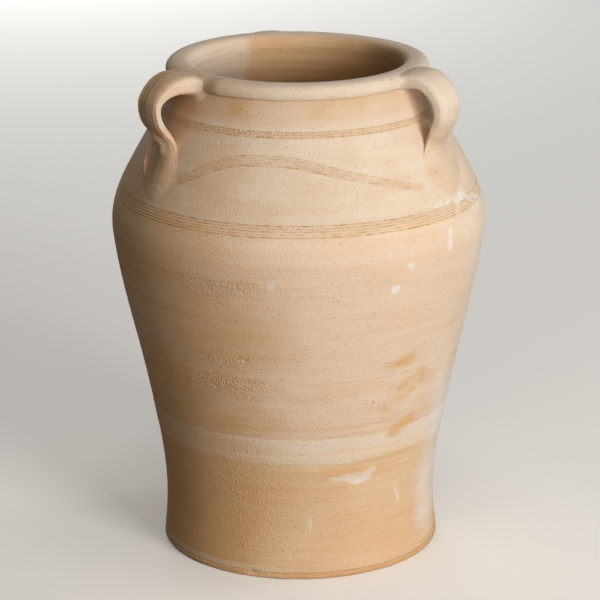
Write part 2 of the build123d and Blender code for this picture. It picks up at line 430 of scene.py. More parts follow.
def stroke(start, end, half_width):
    """Straight mark on the wall from start to end, each (azimuth, level): a bell across it, with a broken line."""
    radius = outer_line((start[1] + end[1]) / 2)
    across = np.radians(end[0] - start[0]) * radius
    up = end[1] - start[1]
    length = np.hypot(across, up)

    def mark(at_azimuth, at_level):
        """The bell of the distance off the line, times a window along it."""
        side, rise = short_way(at_azimuth, np.radians(start[0])) * radius, at_level - start[1]
        along = (side * across + rise * up) / length**2
        off = (side * up - rise * across) / length
        inside = ease(along * 8) * ease((1 - along) * 8)
        return bell(off, half_width) * inside * np.clip(0.8 + 0.5 * ragged(at_azimuth, at_level), 0, 1)

    return mark


def hand_finish(azimuth, level):
    """Wall as the hand leaves it: out of round by slow wobble, with wheel ripples, scrape lines and grit."""
    out_of_round = 0.45 * (wobble(azimuth, level) - 1)
    lines = 0.09 * ripple(azimuth, level) + 0.05 * scrape(azimuth, level)
    return out_of_round + lines + 0.04 * grit(azimuth, level)


smear_low, smear_high = 123.0, 151.0


def smear(azimuth, level):
    """Band of wet clay wiped over the foot ring's joint: 1 between two wavy edges."""
    low = smear_low + 2.0 * wobble(3 * azimuth, 20.0) + 0.8 * ragged(azimuth, 20.0)
    high = smear_high + 1.5 * wobble(2 * azimuth, 60.0) + 0.7 * ragged(azimuth, 60.0)
    return ease((level - low) / 7 + 0.5) * ease((high - level) / 2.5 + 0.5)


def smear_lip(azimuth, level):
    """Crease over the smear's upper edge, deepest at the left."""
    left = bell(short_way(azimuth, np.radians(-75)), np.sqrt(0.5))
    return (0.15 + 0.6 * left) * bell(level - smear_high, 1.3)


def flush(azimuth, level):
    """Flank that the flame reached, left of the front: 1 from 32 to 80 degrees, easing to 0, with wandering edges."""
    away = short_way(azimuth, 0) + 0.12 * wobble(2 * azimuth, level)
    return ease((np.radians(2) - away) / np.radians(34)) * ease((away + np.radians(125)) / np.radians(45))


def flank_bloom(azimuth, level):
    """Lime that came out on the right flank, from the foot to the lower joint: thick towards the front, thinning out
    backwards and at both ends, with wandering edges and wheel streaks."""
    degrees = np.degrees(azimuth)
    front = ease((degrees - 59 + 3 * wobble(3 * azimuth, 2 * level)) / 14 + 0.5)
    back = ease((112 - degrees + 16 * wobble(2 * azimuth, 3 * level) + 6 * ripple(azimuth, level)) / 64 + 0.5)
    foot = ease((level - 28 + 14 * wobble(5 * azimuth, 20.0)) / 46 + 0.5)
    head = ease((196 - level + 30 * wobble(4 * azimuth, 70.0)) / 70 + 0.5)
    return front * back * foot * head * (0.82 + 0.2 * blotch(azimuth, level) + 0.12 * ripple(2 * azimuth, level))


splash = [
    spot(14.0, 106.0, 6, 2.5, 1.6), spot(18.5, 106.0, 8, 4.0, 1.8), spot(23.0, 103.0, 9, 7.0, 2.0),
    spot(27.0, 106.0, 7, 6.0, 2.0), spot(29.8, 110.5, 5, 4.0, 1.8),
]
scratch = stroke((42.5, 88), (45.8, 66), 1.6)
speck = spot(3.9, 59, 2.2, 6, 1.5)
glow = spot(20, 112, 34, 7, 0.7)
peel = spot(-26, 78, 90, 56, 0.3)
# Each ring adds its own fields of azimuth and level to these lists: relief in millimetres, the marks as shares.
relief = [hand_finish, lambda a, z: 0.35 * smear(a, z), lambda a, z: -smear_lip(a, z)]


def smear_bloom(azimuth, level):
    """Pale clay of the smear, in clouds, thinner where the flame reached and at the right of the front."""
    clouds = np.clip(0.7 + 0.5 * blotch(azimuth, level), 0, 1)
    thinner = (1 - 0.7 * flush(azimuth, level)) * (1 - 0.2 * within(np.degrees(azimuth), 30, 58, 12))
    return smear(azimuth, level) * clouds * thinner


def smear_stain(azimuth, level):
    """Iron along the smear's lower edge at the right of the front."""
    return within(azimuth, 0.35, 0.9, 0.2) * bell(level - smear_low + 1, 2.2)


chalk_and_light = [
    lambda a, z: 0.52 * smear_bloom(a, z),
    lambda a, z: 0.85 * np.clip(sum(patch(a, z) for patch in splash), 0, 1),
    lambda a, z: 0.9 * scratch(a, z),
    lambda a, z: 0.5 * speck(a, z),
    lambda a, z: 0.8 * flank_bloom(a, z),
]
warmth_and_shade = [
    lambda a, z: (0.68 - 0.34 * ease((z - 390) / 50)) * flush(a, z),
    lambda a, z: 0.34 * ease((smear_low - z) / 10 + 0.5),
    lambda a, z: 0.22 * (1 - smear(a, z)) * bell(z - 160, 14),
]
groove_and_shade = [lambda a, z: 0.5 * smear_lip(a, z)]
crumb = [lambda a, z: 0.4 * smear_lip(a, z), lambda a, z: 0.5 * peel(a, z), lambda a, z: 0.15 * flush(a, z)]
stain = [lambda a, z: 0.35 * glow(a, z), lambda a, z: 0.4 * smear_stain(a, z)]
smudge_and_shade = []
groove_sides, groove_drops = np.array([3, 1.93, -1.93, -3]), np.array([0, -4, -4, 0])
tongue_sides, tongue_drops = np.array([-3, -2.2, 2.2, 3]), np.array([0, -3, -3, 0])


def courses(levels, counts):
    """Levels of a grid's rows: between each two of levels, which may change round the jar, count rows evenly spaced."""
    spans = []
    for low, high, count in zip(levels[:-1], levels[1:], counts):
        share = np.arange(count)[:, None] / count
        spans.append(low + (high - low) * share + 0 * around)
    return np.vstack(spans + [levels[-1] + 0 * around[None]])


def inner_lime_and_light(azimuth, level):
    """Lime on the wall's inside at the back left, with painted light laid on it: that side, lit from the right, painted
    paler.
    """
    return 0.5 * within(np.degrees(azimuth), -152, -45, 6) * (0.85 + 0.25 * ripple(azimuth, level))


def inner_right_shade(azimuth, level):
    """Painted shade on the wall's inside: darker towards the right, the side turned away from the lamps."""
    return 0.5 * ease(0.3 + 0.7 * np.cos(azimuth - np.radians(80))) + 0 * level


def inner_right_deep_shade(azimuth):
    """Painted shade on the wall's inside at the right: a darker, duller tone."""
    return 0.8 * within(np.degrees(azimuth), -40, 137, 24)


def inner_rust(azimuth):
    """Iron that coloured the wall's inside at the back."""
    return 0.25 * within(np.degrees(azimuth) % 360, 130, 205, 30)


def wall_ring(name, levels, counts, inner_rows, below_radius, above_radius):
    """Ring of the wall. Outside: the wall's line and its relief. Inside: the inner line with faint finger ridges.
    The joint faces have a channel above and a tongue below, each at the middle of the wall."""
    level = courses(levels, counts)
    azimuth = around + 0 * level
    radius = outer_line(level) + sum(mark(azimuth, level) for mark in relief)
    bottom, top = levels[0], levels[-1]
    inner_level = np.linspace(top, bottom, inner_rows)[:, None] + 0 * around
    ridges = 0.3 * np.cos((inner_level / 11.5 + around / (2 * np.pi)) * 2 * np.pi) * wobble(2 * around, inner_level)
    ridges = ridges + 0.3 * ripple(around, inner_level) + 0.4 * wobble(around, inner_level)
    at_joint = ease((inner_level - bottom) / 3) * ease((top - inner_level) / 3)
    inner_radius = inner_line(inner_level) + ridges * (0.25 + 0.75 * at_joint)
    groove_radius = groove_sides[:, None] + above_radius + 0 * around
    groove_level = groove_drops[:, None] + top + 0 * around
    tongue_radius = tongue_sides[:, None] + below_radius + 0 * around
    tongue_level = tongue_drops[:, None] + bottom + 0 * around
    joint = np.zeros((len(groove_sides), columns))

    def marked(fields, inner):
        """A mark's values row by row: its fields outside, none on the joint faces, and its value inside."""
        outer = np.clip(sum(field(azimuth, level) for field in fields) + 0 * level, 0, 1)
        return np.vstack([outer, joint, inner + 0 * inner_level, joint])

    outer_rows = len(level)
    inner_start = outer_rows + len(groove_sides)
    inner_end = inner_start + inner_rows - 1
    return clay_piece(
        name,
        turned(
            np.vstack([radius, groove_radius, inner_radius, tongue_radius]),
            around,
            np.vstack([level, groove_level, inner_level, tongue_level]),
        ),
        {
            # Inside: lime with painted light at the back left, and painted shade towards the right.
            "chalk_and_light": marked(chalk_and_light, inner_lime_and_light(around, inner_level)),
            "warm_and_shade": marked(warmth_and_shade, 0.7),
            "groove_and_shade": marked(groove_and_shade, inner_right_shade(around, inner_level)),
            "crumb": marked(crumb, 0.2),
            "stain": marked(stain, inner_rust(around)),
            "smudge_and_shade": marked(smudge_and_shade, inner_right_deep_shade(around)),
        },
        sharp_rows=[0, *range(outer_rows - 1, inner_start + 1), *range(inner_end, inner_end + len(tongue_sides) + 1)],
        capped=False,
    )


floor_key, foot_key, lower_key, belly_key, upper_belly_key, shoulder_key = (
    radius - wall_thickness / 2 for radius in (wall_radii[0], *wall_radii[2:5], *wall_radii[6:8])
)
foot_ring = wall_ring("foot_ring", [floor_level, 60, foot_top], [32, 50], 40, floor_key, foot_key)
settle(foot_ring, "foot_band", foot_clay)

# Lower ring: the second ring of the wall, opening outwards, scraped with a rib after it was joined.
# Grit dragged by the rib left crumbs, a dimple and a row of pits.
drag = mottle(190, 2.6, 41)
crumb_beds = [spot(-27, 234, 44, 7, 0.5), spot(-31, 207, 46, 10, 0.5)]
pit_places = ((10, 242), (15, 240), (20, 236.5), (25, 232), (30, 228.5), (34, 225))
pit_row = [spot(azimuth, level, 7, 2.2, 1.2) for azimuth, level in pit_places]
warm_cloud = spot(-21, 262, 46, 30, 0.5)
dimple = spot(-17.8, 236.5, 3.0, 2.2, 1.0)
lower_wall = terracotta("wall_clay", colour(244, 217, 189), colour(228, 183, 134))


def lower_line(azimuth, level):
    """Fine line of the ring's upper joint, wiped away at the left."""
    shown = ease(2.5 * np.cos(azimuth - np.radians(15)) - 1.4)
    return shown * bell(level - lower_top - 0.6 * wobble(2 * azimuth, 5.0), 0.8)


relief += [
    lambda a, z: 0.35 * drag(a, z) * sum(bed(a, z) for bed in crumb_beds),
    lambda a, z: -1.2 * dimple(a, z),
    lambda a, z: -0.25 * lower_line(a, z),
]
crumb += [*crumb_beds, lambda a, z: 0.5 * sum(pit(a, z) for pit in pit_row)]
damp = [spot(40.5, 226, 12, 8, 0.8), spot(34, 221, 14, 4, 0.5)]
damp += [spot(47 - 3.2 * step, 203 - 6.2 * step, 9, 7 - 0.6 * step, 0.55) for step in range(5)]
damp += [spot(47.5 - 3.3 * step, 162 - 5.4 * step, 8, 7 - 0.8 * step, 0.55) for step in range(4)]


def damp_band(azimuth, level):
    """Stain that ran along under the ring's upper joint at the right of the front."""
    band = within(np.degrees(azimuth), -8, 44, 16) * within(level, lower_top - 17, lower_top - 1, 5)
    return band * np.clip(0.5 + 0.8 * blotch(azimuth, 2 * level), 0, 1)


def damp_patches(azimuth, level):
    """Iron stains that the damp drew out at the right of the front, in clouds."""
    patches = np.clip(sum(patch(azimuth, level) for patch in damp), 0, 1)
    return patches * np.clip(0.75 + 0.7 * blotch(2 * azimuth, 2 * level), 0, 1)


warmth_and_shade += [
    lambda a, z: 0.3 * warm_cloud(a, z),
    lambda a, z: 0.2 * within(z, 158, 210, 12) * np.clip(0.5 + blotch(a, z), 0, 1),
]
stain += [lambda a, z: 0.62 * damp_patches(a, z), lambda a, z: 0.25 * damp_band(a, z)]
groove_and_shade += [lambda a, z: 0.7 * dimple(a, z), lambda a, z: 0.25 * lower_line(a, z)]
lower_ring = wall_ring("lower_ring", [foot_top, lower_top], [50], 26, foot_key, lower_key)
settle(lower_ring, "lower_band", lower_wall)

# Belly ring: the tall ring that carries the jar out to its widest, joined on with its seam rubbed flat.
# A crease stays along part of the seam, with crumbs under it and a few flakes of lime.
belly_crumbs = [spot(-23, 314, 36, 6.5, 0.6), spot(-30, 312, 30, 12, 0.4)]


def belly_bloom(azimuth, level):
    """Lime that came out on the right flank, from the lower joint to the belt."""
    flank = within(np.degrees(azimuth), 60, 112, 34) * within(level, 190, 366, 30)
    return flank * (0.75 + 0.4 * blotch(azimuth, level))


def belly_crease(azimuth, level):
    """Crease along the belly's upper joint, only at the left of the front and on the back."""
    left = ease(2.5 * np.cos(azimuth - np.radians(-42)) - 1.6)
    back = ease(2 * np.cos(azimuth - np.radians(170)) - 1)
    return (left + 0.3 * back) * bell(level - belly_top - 1.2 * wobble(2 * azimuth, 30.0), 1.1)


relief += [lambda a, z: 0.3 * drag(a, z) * belly_crumbs[0](a, z), lambda a, z: -0.3 * belly_crease(a, z)]
crumb += [belly_crumbs[0], lambda a, z: 0.4 * belly_crumbs[1](a, z)]
flakes = [spot(35.7, 328.3, 5.8, 5.0, 2.2), spot(30.6, 307.3, 4.5, 3.8, 2.2), stroke((52.8, 356), (51.6, 332), 3.4)]
pale_patch = spot(-8.4, 318.5, 3.5, 6, 1.2)
chalk_and_light += [
    lambda a, z: 0.95 * sum(flake(a, z) for flake in flakes),
    lambda a, z: 0.5 * pale_patch(a, z),
    lambda a, z: 0.36 * belly_bloom(a, z),
]
groove_and_shade += [lambda a, z: 0.3 * belly_crease(a, z)]
belly_ring = wall_ring("belly_ring", [lower_top, belly_top], [70], 36, lower_key, belly_key)
settle(belly_ring, "belly_band", lower_wall)

# Upper belly ring: the short ring over the widest line. Its joint with the shoulder is hidden under a band
# of lines drawn with a comb of five teeth while the wheel turned.
comb_tremble = mottle(260, 40, 51)
comb_bite = mottle(90, 2.2, 52)
comb_crumble = mottle(280, 1.1, 53)
comb_pits = mottle(300, 2.0, 54)


def combed(azimuth, level, middle, teeth, pitch, depth):
    """Lines of a comb drawn along the level middle: teeth grooves, cos^4 - 0.25 across each so that ridges stand
    between them, with pits torn along the outer two and burrs thrown up beside them."""
    tooth = (level - middle - 0.15 * comb_tremble(azimuth, 1.0)) / pitch + (teeth - 1) / 2
    inside = (tooth > -0.5) & (tooth < teeth - 0.5)
    bite = 0.75 + 0.3 * comb_bite(azimuth, level) + 0.5 * comb_crumble(azimuth, level)
    outer = bell(tooth, 0.4) + bell(tooth - teeth + 1, 0.4)
    burr = bell(tooth + 0.75, 0.35) + bell(tooth - teeth + 0.25, 0.35)
    lines = inside * bite * (np.cos(np.pi * tooth) ** 4 - 0.25)
    torn = outer * ease(3 * comb_pits(azimuth, level) - 0.6)
    return depth * (0.3 * burr * (0.6 + 0.6 * comb_crumble(azimuth, level)) - lines - 0.55 * torn)


def belt_comb(azimuth, level):
    """The comb band round the shoulder's foot."""
    return combed(azimuth, level, upper_belly_top + 0.8 * wobble(azimuth, 7.0), teeth=5, pitch=2.6, depth=0.75)


def belt_band(azimuth, level):
    """The strip of rubbed clay that the belt's comb covered."""
    return within(level - 0.8 * wobble(azimuth, 7.0), upper_belly_top - 6.2, upper_belly_top + 6.2, 1.6)


bloom = [spot(52, 378, 12, 3.5, 1.0), spot(63, 373, 20, 7.5, 0.8), spot(74, 364, 18, 11.0, 0.8)]


def belt_bloom(azimuth, level):
    """Lime flecks that cover the belt's comb at the right."""
    flecks = ease(0.4 + 0.8 * ragged(azimuth, 1.6 * level) + 0.9 * grit(azimuth, level))
    return np.clip(sum(patch(azimuth, level) for patch in bloom), 0, 1) * flecks


def upper_bloom(azimuth, level):
    """Thin lime bloom over the jar's upper half, in clouds, thicker upwards from the belly's joint."""
    return 0.22 * ease((level - belly_top - 2) / 66) * np.clip(0.55 + 0.65 * blotch(azimuth, level), 0, 1)


relief += [belt_comb]
groove_and_shade += [lambda a, z: np.clip(-1.2 * belt_comb(a, z), 0, 1) * (1 - 0.9 * belt_bloom(a, z))]
stain += [lambda a, z: 0.12 * belt_band(a, z) * (1 - belt_bloom(a, z))]
crumb += [lambda a, z: 0.25 * belt_band(a, z), lambda a, z: 0.4 * belt_bloom(a, z)]
chalk_and_light += [lambda a, z: 0.85 * belt_bloom(a, z), upper_bloom]
belt_half = 8.0
upper_belly_ring = wall_ring(
    "upper_belly_ring",
    [belly_top, upper_belly_top - belt_half, upper_belly_top],
    [28, 24],
    18,
    belly_key,
    upper_belly_key,
)
settle(upper_belly_ring, "upper_belly_band", lower_wall)

# Shoulder ring: the ring that draws in over the belly. Between each two handles one arch is combed on it
# free-hand, steep at its left and long at its right, and three more lines, the collar, cover its upper joint.
left_azimuth, right_azimuth, back_azimuth = -55.0, 60.0, 192.5
arch_shares = [0, 0.074, 0.17, 0.255, 0.34, 0.492, 0.603, 0.712, 0.83, 0.879, 1]
arch_levels = [396, 403.7, 418.4, 428.3, 431, 428.5, 419.7, 410.9, 400.4, 396.5, 396]
arch_line = smooth_line(arch_shares, arch_levels)
handle_turns = np.radians([left_azimuth - 0.001, right_azimuth, back_azimuth, left_azimuth + 360])


def arch_share(azimuth):
    """How far along its arch an azimuth is, from one handle, 0, to the next, 1."""
    turn = (azimuth - handle_turns[0]) % (2 * np.pi) + handle_turns[0]
    return np.interp(turn, handle_turns, [0, 1, 2, 3]) % 1


def arch_drawn(share):
    """Window along an arch where the comb touched: 1 between its ends, easing to 0."""
    return ease((share - 0.07) / 0.02) * ease((0.885 - share) / 0.02)


def arch_squeeze(share):
    """How far the comb was turned, which brings its lines together: 0 at an arch's left, easing to 1 at its right."""
    return ease((share - 0.4) / 0.45)


def arch_comb(azimuth, level):
    """The arch's comb lines, close together towards its right end, fading out at both ends."""
    share = arch_share(azimuth)
    pitch = 2.2 - 0.75 * arch_squeeze(share)
    return arch_drawn(share) * combed(azimuth, level, arch_line(share), teeth=5, pitch=pitch, depth=0.36 * pitch)


def arch_band(azimuth, level):
    """The strip of rubbed clay that the arch's comb covered."""
    share = arch_share(azimuth)
    half = 5 - 1.6 * arch_squeeze(share)
    return arch_drawn(share) * within(level - arch_line(share), -half, half, 1.4)


def collar_comb(azimuth, level):
    """Three crumbly lines over the shoulder's upper joint."""
    middle = shoulder_top + 0.7 + 0.5 * wobble(azimuth, 11.0)
    return combed(azimuth, level, middle, teeth=3, pitch=2.3, depth=0.65)


def collar_band(azimuth, level):
    """The strip of torn clay that the collar's comb covered."""
    return within(level - 0.5 * wobble(azimuth, 11.0), shoulder_top - 2.8, shoulder_top + 4.2, 1.4)


pinhole = spot(-31.9, 443.7, 1.3, 1.1, 1.5)
# Painted shadow on the shoulder in the gap behind the right handle.
handle_gap_shadow = spot(71, 459, 19, 18, 0.7)
relief += [arch_comb, collar_comb, lambda a, z: -0.8 * pinhole(a, z)]
smudge_and_shade += [lambda a, z: 0.9 * handle_gap_shadow(a, z)]
groove_and_shade += [
    lambda a, z: np.clip(-1.2 * arch_comb(a, z), 0, 1),
    lambda a, z: np.clip(-1.1 * collar_comb(a, z), 0, 1),
]
stain += [lambda a, z: 0.08 * arch_band(a, z), lambda a, z: 0.2 * collar_band(a, z)]
crumb += [lambda a, z: 0.3 * arch_band(a, z), lambda a, z: 0.8 * collar_band(a, z)]
arch_level = arch_line(arch_share(around))
arch_half, collar_half = 7.0, 5.5
shoulder_ring = wall_ring(
    "shoulder_ring",
    [
        upper_belly_top, upper_belly_top + belt_half, arch_level - arch_half, arch_level + arch_half,
        shoulder_top - collar_half, shoulder_top,
    ],
    [24, 16, 42, 12, 16],
    28,
    upper_belly_key,
    shoulder_key,
)
upper_buff, upper_rust = colour(236, 213, 187), colour(224, 180, 134)
upper_clay = terracotta("upper_clay", upper_buff, upper_rust)
settle(shoulder_ring, "shoulder_band", upper_clay)

# Neck ring: the short upright ring under the lip, smoothed with a wet finger.
# It grows thicker upwards inside, to carry the rim.


def lip_shade_line(azimuth, level):
    """Painted shade along the corner under the lip, where the lip's shadow falls."""
    return bell(level - neck_top - 0.6 * wobble(3 * azimuth, 40.0), 1.6)


# Painted shade under the lip: the upper neck painted warmer, and darker up towards the lip.
warmth_and_shade += [lambda a, z: 0.55 * ease((z - shoulder_top - 4) / 14)]
groove_and_shade += [
    lambda a, z: 0.3 * lip_shade_line(a, z),
    lambda a, z: 0.1 * ease((z - neck_top + 22) / 18) * (0.4 + 0.6 * flush(a, z)),
]
neck_key = neck_top_radius - (neck_top_radius - throat_radius) / 2
neck_ring = wall_ring(
    "neck_ring",
    [shoulder_top, shoulder_top + collar_half + 1, neck_top],
    [18, 22],
    16,
    shoulder_key,
    neck_key,
)
settle(neck_ring, "neck_band", upper_clay)

# Rim coil: a thick coil of clay joined to the neck and rolled over into a rounded lip with a wet rag.
# It is not quite level: low at the back right, and a little high in front.
lip_radius = ring_reach("rim_coil")
crest_level = ring_top("rim_coil")
rim_outline = np.array([
    (neck_top_radius, neck_top), (neck_top_radius + 1.8, neck_top + 0.4), (lip_radius - 0.3, neck_top + 2.0),
    (lip_radius + 0.6, neck_top + 5.0), (lip_radius + 0.3, neck_top + 8.5), (lip_radius - 2.2, crest_level - 2.6),
    (lip_radius - 7.5, crest_level - 0.3), (lip_radius - 14, crest_level), (lip_radius - 19.5, crest_level - 1.0),
    (lip_radius - 23, crest_level - 3.6), (lip_radius - 24.7, crest_level - 7.2), (throat_radius + 0.5, neck_top + 3.4),
    (throat_radius, neck_top),
])
outline_length = np.r_[0, np.cumsum(np.hypot(*np.diff(rim_outline, axis=0).T))]
rim_steps = np.linspace(0, outline_length[-1], 64)
rim_radius = np.r_[smooth_line(outline_length, rim_outline[:, 0])(rim_steps), neck_key + tongue_sides][:, None]
rim_level = np.r_[smooth_line(outline_length, rim_outline[:, 1])(rim_steps), neck_top + tongue_drops][:, None]
lift = ease((rim_level - neck_top) / 10)
rim_inner = ease((lip_radius - 15 - rim_radius) / 10)
left_smudge = spot(-40.5, 491, 7, 8, 0.7)(around, rim_level) * (rim_radius > lip_radius - 12)
right_smudge = spot(48, 498, 9, 5, 0.6)(around, rim_level) * np.clip(0.4 + blotch(2 * around, 2 * rim_level), 0, 1)
rim_smudge = 0.95 * left_smudge + 0.2 * right_smudge
tilt = 1.1 * np.cos(around) - 1.6 * bell(short_way(around, np.radians(150)), np.sqrt(0.5)) - 0.6
rim_wobble = 0.4 * wobble(2 * around, rim_level) + 0.15 * ripple(around, rim_level) - 0.45
rim_ring = clay_piece(
    "rim_ring",
    turned(rim_radius + rim_wobble * lift, around, rim_level + tilt * lift),
    {
        # Painted shade under the lip; inside, lime with painted light at the back left and painted shade towards the
        # right.
        "warm_and_shade": 0.6 * flush(around, rim_level) * (1 - rim_inner) + 0.7 * rim_inner,
        "chalk_and_light": upper_bloom(around, rim_level) + 0.12 * (1 - rim_inner) + rim_inner * inner_lime_and_light(around, rim_level),
        "groove_and_shade": 0.3 * lip_shade_line(around, rim_level) * (1 - rim_inner) + rim_inner * inner_right_shade(around, rim_level),
        "stain": rim_inner * inner_rust(around),
        "crumb": 0.25 + 0 * around + 0 * rim_level,
        "smudge_and_shade": rim_smudge + ease((rim_inner - 0.5) / 0.5) * inner_right_deep_shade(around),
    },
    sharp_rows=[0, *range(len(rim_steps) - 1, len(rim_radius))],
    capped=False,
)
rim_clay = terracotta("rim_clay", upper_buff, upper_rust)
settle(rim_ring, "rim_coil", rim_clay)

# Handles: three straps of clay pulled by hand, with lines along the face, and bent from the lip to the shoulder.
# The root is worked into the lip, and the foot is pressed flat and wiped out on the shoulder. A thumb pressed the
# left one's foot hollow, and left a bead along its far edge.
strap_turn = np.linspace(0, 2 * np.pi, 144, endpoint=False)
strap_share = np.linspace(0, 1, 220)[:, None]
handle_clay = terracotta("handle_clay", upper_buff, upper_rust)
side_levels = np.linspace(360, neck_top, 120)
lip_rows = 34
jar_profile = np.vstack([
    np.stack([outer_line(side_levels), side_levels], axis=-1),
    np.stack([rim_radius[:lip_rows, 0], rim_level[:lip_rows, 0]], axis=-1),
])
profile_slope = np.gradient(jar_profile, axis=0)
crown_level = 1000 * cad_box[1][2] - 0.1


def stand_off(radius, level):
    """Distance of points from the jar's outside, less than 0 inside it: to the nearest point of its outline."""
    away = np.stack([radius, level], axis=-1)[..., None, :] - jar_profile
    nearest = np.argmin((away**2).sum(-1), axis=-1)
    step = np.take_along_axis(away, nearest[..., None, None], axis=-2)[..., 0, :]
    slope = profile_slope[nearest]
    side = np.sign(step[..., 0] * slope[..., 1] - step[..., 1] * slope[..., 0])
    return side * np.hypot(step[..., 0], step[..., 1])


def filleted(gap, fillet):
    """How far clay worked into a corner spreads at a gap from the jar, R - sqrt(R^2 - (R - gap)^2): a quarter circle
    of that radius."""
    inside = np.clip(fillet - gap, 0, fillet)
    return fillet - np.sqrt(fillet**2 - inside**2)


def strap(name, azimuth, stations, fillets, lines, thumb):
    """Strap through stations (radius, level, half width towards -s, half width towards +s, thickness), each value a
    smooth line of the length. Its section is s = w |cos t|^q round the jar and n = h |sin t|^p out, signed, with q and
    p 0.6, and 1 and 3 at the foot, where the edges are wiped down. It spreads by a quarter circle where it comes near
    the jar: fillets are its radius at the root's sides, under the root, where the strap lands and at the toe. Lines
    (place, depth, from, to) are drawn along the face, the place a share of the half width. Thumb is the side of its
    foot that a thumb pressed hollow, -1 or 1, or 0 for none."""
    stations = np.array(stations)
    chord = np.r_[0, np.cumsum(np.hypot(*np.diff(stations[:, :2], axis=0).T))]
    chord = chord / chord[-1]
    radius, level, minus_half, plus_half, thickness = (
        smooth_line(chord, column)(strap_share) for column in stations.T
    )
    run, fall = np.gradient(radius[:, 0])[:, None], np.gradient(level[:, 0])[:, None]
    length = np.hypot(run, fall)
    out_radius, out_level = -fall / length, run / length
    cosine, sine = np.cos(strap_turn), np.sin(strap_turn)
    face = ease(2.5 * sine)
    wiped = ease((strap_share - 0.52) / 0.22)
    across = np.sign(cosine) * np.abs(cosine) ** (0.6 + 0.4 * wiped) * np.where(cosine < 0, minus_half, plus_half)
    lift = np.sign(sine) * np.abs(sine) ** (0.6 + 2.4 * wiped) * thickness / 2
    drawn = sum(
        depth * within(strap_share, start, end, 0.08) * bell(cosine - place, 0.07)
        for place, depth, start, end in lines
    )
    beside = across * thumb - 0.45 * (level - 406)
    hollow = within(beside, 14, 31, 6) * within(level, 402, 430, 12)
    leaf = bell(beside - 35, 3.5) * within(level, 402, 426, 14)
    turn = np.radians(azimuth)
    face_azimuth, face_level = turn + across / 160, level + 0 * across
    uneven = 0.25 * ripple(face_azimuth, face_level) + 0.12 * grit(face_azimuth, face_level)
    spine = bell(across * thumb - 9, 7) * within(level, 422, 448, 14)
    bead = bell(cosine * thumb - 0.88, 0.1) * ease((0.55 - strap_share) / 0.2)
    lift = lift + face * (uneven - drawn + thumb**2 * (1.4 * bead + 4.5 * spine + 3.5 * leaf - 7.0 * hollow))
    sunk = 0.8
    gap = stand_off(radius + out_radius * lift, level + out_level * lift) + sunk
    root_side, root_under, landing, toe = fillets
    fillet_shares = [0.4, 0.65, 0.88]
    side_fillet = np.interp(strap_share, fillet_shares, [root_side, landing, toe])
    under_fillet = np.interp(strap_share, fillet_shares, [root_under, landing, toe])
    across = across + cosine * filleted(gap, side_fillet)
    lift = lift + np.minimum(sine, 0) * filleted(gap, under_fillet)
    strap_radius = radius + out_radius * lift
    strap_level = level + out_level * lift
    soft_rise = 0.8
    rise = np.maximum(strap_level - crown_level + soft_rise, 0)
    strap_level = np.where(rise > 0, crown_level - soft_rise * np.exp(-rise / soft_rise), strap_level)
    strap_azimuth = turn + across / strap_radius
    root = ease((0.22 - strap_share) / 0.2)
    corner = 0.15 * bell(np.maximum(gap - sunk, 0), 3)
    soot = np.clip(0.1 + 0.9 * blotch(2 * strap_azimuth, 2 * strap_level), 0, 1)
    flushed = flush(strap_azimuth, strap_level)
    foot_warmth = 0.3 * (1 - ease((strap_level - 435) / 40))
    crown_bloom = 0.14 * ease((strap_level - 440) / 40) * (1 - flushed)
    # Painted highlight: the strap's side edges painted paler, fading out at the foot.
    edge_highlight = 0.3 * (1 - wiped) * ease(4 * np.abs(cosine) - 3)
    piece = clay_piece(
        name + "_strap",
        turned(strap_radius, strap_azimuth, strap_level),
        {
            "groove_and_shade": face * np.clip(1.2 * drawn, 0, 1),
            "smudge_and_shade": root * (corner + 0.5 * soot),
            "warm_and_shade": 0.55 * flushed + 0.1 * (1 - face) + 0.3 * thumb**2 * hollow + foot_warmth,
            "chalk_and_light": upper_bloom(strap_azimuth, strap_level) + crown_bloom + edge_highlight,
        },
        sharp_rows=[],
        capped=True,
    )
    settle(piece, name, handle_clay)


def on_wall(level, stand):
    """Point of a strap's middle line at a level, a stand away from the wall."""
    return float(outer_line(level)) + stand, level


strap(
    "handle_left",
    left_azimuth,
    [
        (118, 486.5, 26, 18, 20), (146, 492.3, 26, 17, 18.6), (169.8, 477, 22, 12.5, 9.5), (163, 450, 27, 10, 9),
        (*on_wall(431, 2.6), 36, 8, 7.6), (*on_wall(421, 0.2), 42, 14, 6.8), (*on_wall(411, -0.5), 44, 20, 7),
        (*on_wall(399, -0.8), 40, 24, 6.4), (*on_wall(388, -1.8), 32, 23, 5.2), (*on_wall(379, -3.4), 22, 20, 5),
    ],
    fillets=(9, 8, 3, 3),
    lines=[(-0.44, 1.1, 0, 0.55), (-0.2, 0.6, 0.05, 0.5), (0.6, 0.45, 0.36, 0.68), (0.75, 0.4, 0.4, 0.64)],
    thumb=-1,
)
strap(
    "handle_right",
    right_azimuth,
    [
        (118, 488, 22, 22, 18), (146, 492.5, 21, 21, 17), (166.5, 470.5, 20, 19, 15), (158.5, 443, 14.5, 27, 13),
        (*on_wall(427, 2.2), 15, 40, 9.6), (*on_wall(413, -0.5), 22, 44, 7.6), (*on_wall(399, -1.0), 25, 42, 7),
        (*on_wall(386, -2.4), 22, 34, 5.6), (*on_wall(378, -3.8), 18, 24, 5.6),
    ],
    fillets=(5, 3, 5, 5),
    lines=[(-0.35, 0.06, 0.1, 0.6), (0.4, 0.06, 0.1, 0.6)],
    thumb=0,
)
